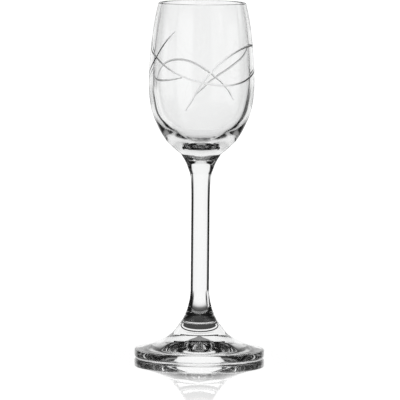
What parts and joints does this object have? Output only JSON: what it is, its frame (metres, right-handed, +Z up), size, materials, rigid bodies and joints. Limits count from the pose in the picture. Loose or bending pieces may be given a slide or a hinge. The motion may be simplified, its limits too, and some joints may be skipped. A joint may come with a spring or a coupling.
{
  "type": "cordial glass",
  "caption": "Small stemmed cordial glass with a tapering bowl, a slim drawn stem with flared ends and a round foot, in clear heavy glass with wheel-cut arcs round the bowl.",
  "frame": {"origin": "on the floor under the middle of the foot", "axes": "+Z up along the stem; the face that the picture shows looks towards -Y"},
  "size_m": [0.0548, 0.0548, 0.15],
  "materials": {
    "clear_glass": "fire-polished and clear"
  },
  "bodies": {
    "root": {"bowl": "clear_glass", "stem": "clear_glass", "foot": "clear_glass"}
  },
  "joints": []
}
